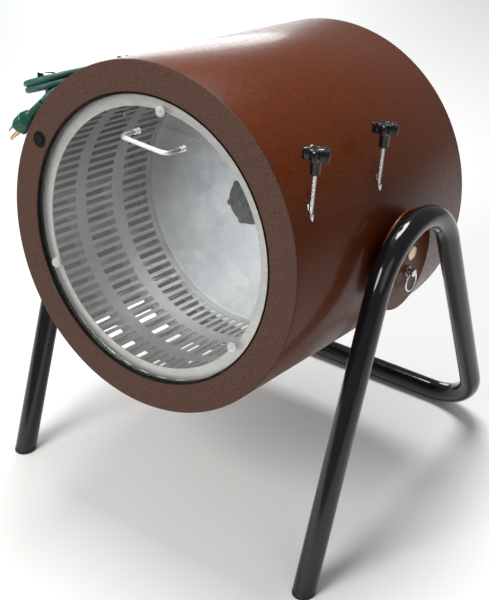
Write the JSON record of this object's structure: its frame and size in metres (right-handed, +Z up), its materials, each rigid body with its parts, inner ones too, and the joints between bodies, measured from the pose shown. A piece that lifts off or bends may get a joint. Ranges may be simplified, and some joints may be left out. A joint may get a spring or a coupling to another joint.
{
  "type": "rotary tumbler",
  "caption": "Motor-driven rotary tumbler: slotted drum with a clear front door in a round housing that tilts on a bent-tube stand, over a height-set sieve cradle.",
  "frame": {"origin": "on the floor under the middle of the stand", "axes": "+Z up; the drum's mouth faces -Y; +X is the right side seen from the front"},
  "size_m": [0.5522, 0.5314, 0.6654],
  "materials": {
    "housing_brown": "hammered gloss",
    "ring_brown": "textured matt",
    "stand_black": "gloss",
    "black_plastic": "satin",
    "knob_black": "gloss",
    "rubber_black": "matt",
    "steel": "satin",
    "galvanised": "spangled",
    "cast_grey": "cast",
    "zinc_plate": "bright",
    "yellow_zinc": "satin",
    "clear_acrylic": "clear",
    "cord_green": "satin",
    "plug_green": "satin",
    "blade_brass": "polished"
  },
  "bodies": {
    "stand": {"stand_tube": "stand_black", "foot_cap_left": "black_plastic", "foot_cap_right": "black_plastic", "pivot_plate_left": "housing_brown", "pivot_plate_right": "housing_brown", "pivot_washer_left": "black_plastic", "pivot_washer_right": "black_plastic", "pivot_bolt_left": "yellow_zinc", "pivot_bolt_right": "yellow_zinc", "plunger_barrel_left": "zinc_plate", "plunger_barrel_right": "zinc_plate"},
    "housing": {"housing_shell": "housing_brown", "front_ring": "ring_brown", "hole_trim": "rubber_black", "rear_cover": "housing_brown", "cord_gland": "black_plastic", "pivot_boss_left": "housing_brown", "pivot_boss_right": "housing_brown", "button_switch": "black_plastic", "bulkhead": "galvanised", "shaft_bearing": "cast_grey", "motor_plate": "galvanised", "gearbox": "cast_grey", "motor": "cast_grey", "cord_rear_run": "cord_green", "cord_hank": "cord_green", "cord_tail": "cord_green", "strain_relief": "plug_green", "plug_body": "plug_green", "plug_blade_1": "blade_brass", "plug_blade_2": "blade_brass", "plug_ground_pin": "blade_brass"},
    "drum": {"drum_shell": "steel", "drum_flange": "steel", "drum_back_plate": "galvanised", "drum_hub": "cast_grey", "drum_shaft": "steel", "shaft_coupling": "steel", "motor_shaft": "steel"},
    "door": {"door_pane": "clear_acrylic", "door_fastener_1": "clear_acrylic", "door_fastener_2": "clear_acrylic", "door_fastener_3": "clear_acrylic", "door_handle": "zinc_plate"},
    "cradle": {"sieve_cradle": "steel", "cradle_rail_left": "steel", "cradle_rail_right": "steel"},
    "power_button": {"power_button": "rubber_black"},
    "adjuster_front_left": {"star_knob_front_left": "knob_black", "adjuster_rod_front_left": "zinc_plate"},
    "adjuster_front_right": {"star_knob_front_right": "knob_black", "adjuster_rod_front_right": "zinc_plate"},
    "adjuster_rear_left": {"star_knob_rear_left": "knob_black", "adjuster_rod_rear_left": "zinc_plate"},
    "adjuster_rear_right": {"star_knob_rear_right": "knob_black", "adjuster_rod_rear_right": "zinc_plate"},
    "lock_pin_left": {"lock_pin_left": "zinc_plate"},
    "pull_ring_left": {"pull_ring_left": "zinc_plate"},
    "lock_pin_right": {"lock_pin_right": "zinc_plate"},
    "pull_ring_right": {"pull_ring_right": "zinc_plate"}
  },
  "joints": [
    {"name": "housing_tilt", "type": "hinge", "parent": "stand", "child": "housing", "pos_m": [0, 0.0163, 0.3932], "axis": [1, 0, 0], "range_deg": [-45, 45]},
    {"name": "drum_spin", "type": "hinge", "parent": "housing", "child": "drum", "pos_m": [0, -0.23594, 0.43851], "axis": [0, 0.9914, -0.1305], "continuous": true},
    {"name": "door_lift_off", "type": "slide", "parent": "drum", "child": "door", "axis": [0, -0.9914, 0.1305], "range_m": [0, 0.25]},
    {"name": "cradle_lift", "type": "slide", "parent": "housing", "child": "cradle", "axis": [0, 0.1305, 0.9914], "range_m": [-0.008, 0.012]},
    {"name": "button_press", "type": "slide", "parent": "housing", "child": "power_button", "axis": [0, 0.9914, -0.1305], "range_m": [0, 0.0025], "stiffness_N_per_m": 500},
    {"name": "knob_turn_front_left", "type": "hinge", "parent": "cradle", "child": "adjuster_front_left", "pos_m": [-0.21, -0.19232, 0.43277], "axis": [0, 0.1305, 0.9914], "continuous": true},
    {"name": "knob_turn_rear_left", "type": "hinge", "parent": "cradle", "child": "adjuster_rear_left", "pos_m": [-0.21, -0.03567, 0.41215], "axis": [0, 0.1305, 0.9914], "continuous": true},
    {"name": "knob_turn_front_right", "type": "hinge", "parent": "cradle", "child": "adjuster_front_right", "pos_m": [0.21, -0.19232, 0.43277], "axis": [0, 0.1305, 0.9914], "continuous": true},
    {"name": "knob_turn_rear_right", "type": "hinge", "parent": "cradle", "child": "adjuster_rear_right", "pos_m": [0.21, -0.03567, 0.41215], "axis": [0, 0.1305, 0.9914], "continuous": true},
    {"name": "lock_pin_pull_right", "type": "slide", "parent": "stand", "child": "lock_pin_right", "axis": [1, 0, 0], "range_m": [0, 0.008], "stiffness_N_per_m": 700},
    {"name": "pull_ring_swing_right", "type": "hinge", "parent": "lock_pin_right", "child": "pull_ring_right", "pos_m": [0.25202, 0.00433, 0.37125], "axis": [0, -1, 0], "range_deg": [-8, 95]},
    {"name": "lock_pin_pull_left", "type": "slide", "parent": "stand", "child": "lock_pin_left", "axis": [-1, 0, 0], "range_m": [0, 0.008], "stiffness_N_per_m": 700},
    {"name": "pull_ring_swing_left", "type": "hinge", "parent": "lock_pin_left", "child": "pull_ring_left", "pos_m": [-0.25202, 0.00433, 0.37125], "axis": [0, 1, 0], "range_deg": [-8, 95]}
  ]
}
